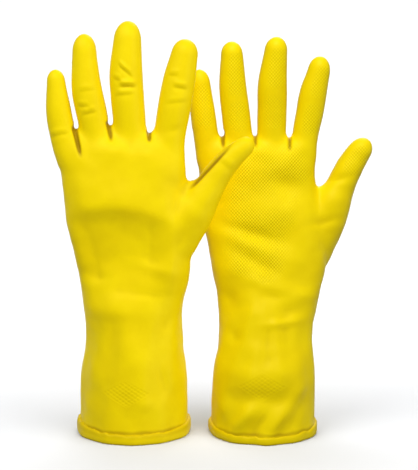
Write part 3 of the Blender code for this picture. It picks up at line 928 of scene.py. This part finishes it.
def latex_material():
    """Dipped yellow latex: even colour, painted dark amber shade in the folds, painted light and shade on the
    grip pattern, satin with a fine grain.
    """
    n = Nodes("yellow_latex_skin")
    place = n.add("ShaderNodeTexCoord").outputs["Object"]
    broad = n.noise(place, 38.0, 2.0)
    blotch = n.noise(place, 150.0, 4.0, 0.6)
    colour = n.ramp(broad, (0.3, (0.890, 0.672, 0.0)), (0.7, (0.935, 0.725, 0.0)))
    colour = n.mix(n.map(blotch, 0.35, 0.75, 0.0, 0.35), colour, (0.860, 0.630, 0.0))
    # Painted shade in the folds, clefts, over the bead and on the bead's top: mixes towards dark amber.
    painted_shade = n.add("ShaderNodeAttribute", attribute_name="painted_shade").outputs["Fac"]
    colour = n.mix(n.map(painted_shade, 0.05, 1.4, 0.0, 0.95), colour, (0.34, 0.20, 0.0))
    pattern = net_nodes(n, place)
    # Painted highlight on the grip pattern's raised diamonds and painted shade in its grooves; the same
    # height also bumps the normal below.
    colour = n.mix(n.map(pattern, 0.0, 2.0, 0.0, 0.9), colour, (0.995, 0.86, 0.0))
    colour = n.mix(n.map(pattern, -0.2, -2.0, 0.0, 0.42), colour, (0.60, 0.42, 0.0))
    n.link(colour, n.shader.inputs["Base Color"])
    n.link(n.map(blotch, 0.3, 0.7, 0.46, 0.58), n.shader.inputs["Roughness"])
    n.shader.inputs["Specular IOR Level"].default_value = 0.2
    n.shader.inputs["Specular Tint"].default_value = (1.0, 0.9, 0.4, 1.0)
    grain = n.bump(n.noise(place, 1500.0, 2.0), 0.0001, 0.35)
    grain = n.bump(blotch, 0.0006, 0.25, grain)
    n.link(n.bump(pattern, 0.00012, 0.6, grain), n.shader.inputs["Normal"])
    return n.mat


def flock_material():
    """Short cotton flock inside the glove."""
    n = Nodes("cotton_flock_lining")
    place = n.add("ShaderNodeTexCoord").outputs["Object"]
    fluff = n.noise(place, 900.0, 5.0, 0.7)
    patch = n.noise(place, 60.0, 3.0)
    colour = n.ramp(fluff, (0.3, (0.70, 0.62, 0.36)), (0.7, (0.90, 0.85, 0.66)))
    colour = n.mix(n.map(patch, 0.3, 0.7, 0.0, 0.4), colour, (0.84, 0.74, 0.38))
    n.link(colour, n.shader.inputs["Base Color"])
    n.link(n.map(fluff, 0.2, 0.8, 1.0, 0.86), n.shader.inputs["Roughness"])
    n.shader.inputs["Sheen Weight"].default_value = 0.4
    n.link(n.bump(fluff, 0.0007, 0.8), n.shader.inputs["Normal"])
    return n.mat


def floor_material():
    """Matt grey that the floor's own strong light turns white, so that little colour spills onto it."""
    n = Nodes("studio_white")
    place = n.add("ShaderNodeTexCoord").outputs["Object"]
    n.link(n.ramp(n.noise(place, 3.0), (0.3, (0.495, 0.50, 0.51)), (0.7, (0.505, 0.51, 0.52))),
           n.shader.inputs["Base Color"])
    n.shader.inputs["Roughness"].default_value = 0.9
    n.shader.inputs["Specular IOR Level"].default_value = 0.1
    return n.mat


# ----------------------------------------------------------------------------------------------------
# Studio
# ----------------------------------------------------------------------------------------------------
def backdrop():
    """Pale floor that sweeps up behind the gloves."""
    profile = [(-2.5, 0.0), (1.15, 0.0)]
    profile += [(1.15 + 0.6 * sin(a), 0.6 - 0.6 * cos(a)) for a in np.linspace(0.1, pi / 2, 12)]
    profile += [(1.75, 3.0)]
    bm = bmesh.new()
    left = [bm.verts.new((-3.0, y, z)) for y, z in profile]
    right = [bm.verts.new((3.0, y, z)) for y, z in profile]
    for i in range(len(profile) - 1):
        bm.faces.new((left[i], right[i], right[i + 1], left[i + 1]))
    mesh = bpy.data.meshes.new("backdrop")
    bm.to_mesh(mesh)
    bm.free()
    mesh.shade_smooth()
    mesh.materials.append(floor_material())
    obj = bpy.data.objects.new("backdrop", mesh)
    bpy.context.scene.collection.objects.link(obj)
    obj.visible_diffuse = False     # the floor takes light and shadow, and throws none back at the gloves
    return obj


def area_light(name, place, aim, size, power, receivers=None, blockers=None):
    """A disk light. It may light only some objects, and only some may shade it."""
    data = bpy.data.lights.new(name, "AREA")
    data.shape, data.size, data.energy = "DISK", size, power
    obj = bpy.data.objects.new(name, data)
    obj.location = place
    obj.rotation_euler = (Vector(aim) - Vector(place)).to_track_quat("-Z", "Y").to_euler()
    obj.visible_camera = False
    bpy.context.scene.collection.objects.link(obj)
    for role, members in (("receiver_collection", receivers), ("blocker_collection", blockers)):
        if members:
            group = bpy.data.collections.new(f"{name}_{role}")
            for member in members:
                group.objects.link(member)
            setattr(obj.light_linking, role, group)


def studio(gloves, floor):
    """Soft light. Each glove has front and side lights of its own, and the floor and the wall have theirs."""
    world = bpy.data.worlds.new("studio")
    world.use_nodes = True
    world.node_tree.nodes["Background"].inputs["Color"].default_value = (1, 1, 1, 1)
    world.node_tree.nodes["Background"].inputs["Strength"].default_value = 0.32
    bpy.context.scene.world = world
    left, right = gloves["left"], gloves["right"]
    area_light("left_key", (-1.0, -0.75, 1.5), (-0.06, 0, 0.15), 0.5, 10, left)
    area_light("left_front", (-0.1, -1.25, 1.55), (-0.06, 0, 0.15), 0.5, 13.5, left)
    area_light("left_fill", (1.0, -0.8, 0.9), (-0.06, 0, 0.15), 0.6, 5.5, left, left)
    area_light("left_side", (1.0, -0.7, 0.05), (-0.06, 0, 0.15), 0.5, 3, left, left)
    area_light("right_key", (0.1, -1.0, 1.4), (0.04, 0, 0.15), 0.4, 6, right, right)
    area_light("right_front", (0.0, -0.65, 1.05), (0.04, 0, 0.22), 0.4, 7.2, right, right)
    area_light("right_side", (1.0, -0.9, 0.3), (0.04, 0, 0.2), 0.3, 1.0, right)
    area_light("back", (0.3, 1.0, 1.2), (0, 0, 0.15), 0.7, 6, left + right)
    area_light("floor_top", (0.0, -0.1, 1.7), (0, 0.05, 0), 2.2, 22, [floor])
    area_light("floor_left", (-0.65, -0.45, 1.7), (0, 0.05, 0), 1.0, 18.5, [floor])
    area_light("floor_right", (0.65, -0.45, 1.7), (0, 0.05, 0), 1.0, 18.5, [floor])
    area_light("wall_light", (0.0, 0.9, 1.6), (0, 1.75, 0.5), 1.0, 34, [floor])
    bpy.context.scene.view_settings.view_transform = "Standard"


def camera():
    """Camera a little above the gloves, looking slightly down at them from in front."""
    tilt, distance, mm_per_pixel = radians(9.0), 1.016, 0.739
    data = bpy.data.cameras.new("camera")
    data.lens = data.sensor_width * distance / MM / mm_per_pixel / IMAGE_HEIGHT
    data.clip_start, data.clip_end = 0.05, 20
    obj = bpy.data.objects.new("camera", data)
    obj.location = (-0.0023, -distance * cos(tilt), 0.1494 + distance * sin(tilt))
    obj.rotation_euler = (radians(90) - tilt, 0, 0)
    bpy.context.scene.collection.objects.link(obj)
    bpy.context.scene.camera = obj


def main():
    """Build both gloves, the studio and the camera."""
    for obj in list(bpy.context.scene.objects):
        if obj.name in ("Cube", "Light", "Camera"):
            bpy.data.objects.remove(obj, do_unlink=True)
    latex, flock = latex_material(), flock_material()
    gloves = {}
    for side in GLOVES:
        form = Form(side)
        film, extra = film_skin(form)
        gloves[side] = hand_pieces(form, film, extra, "film", latex, film_nodes)
        gloves[side] += hand_pieces(form, lining_skin(form), {}, "flock", flock,
                                    lining_nodes, True)
        gloves[side].append(bead_piece(form, latex))
    studio(gloves, backdrop())
    camera()


main()
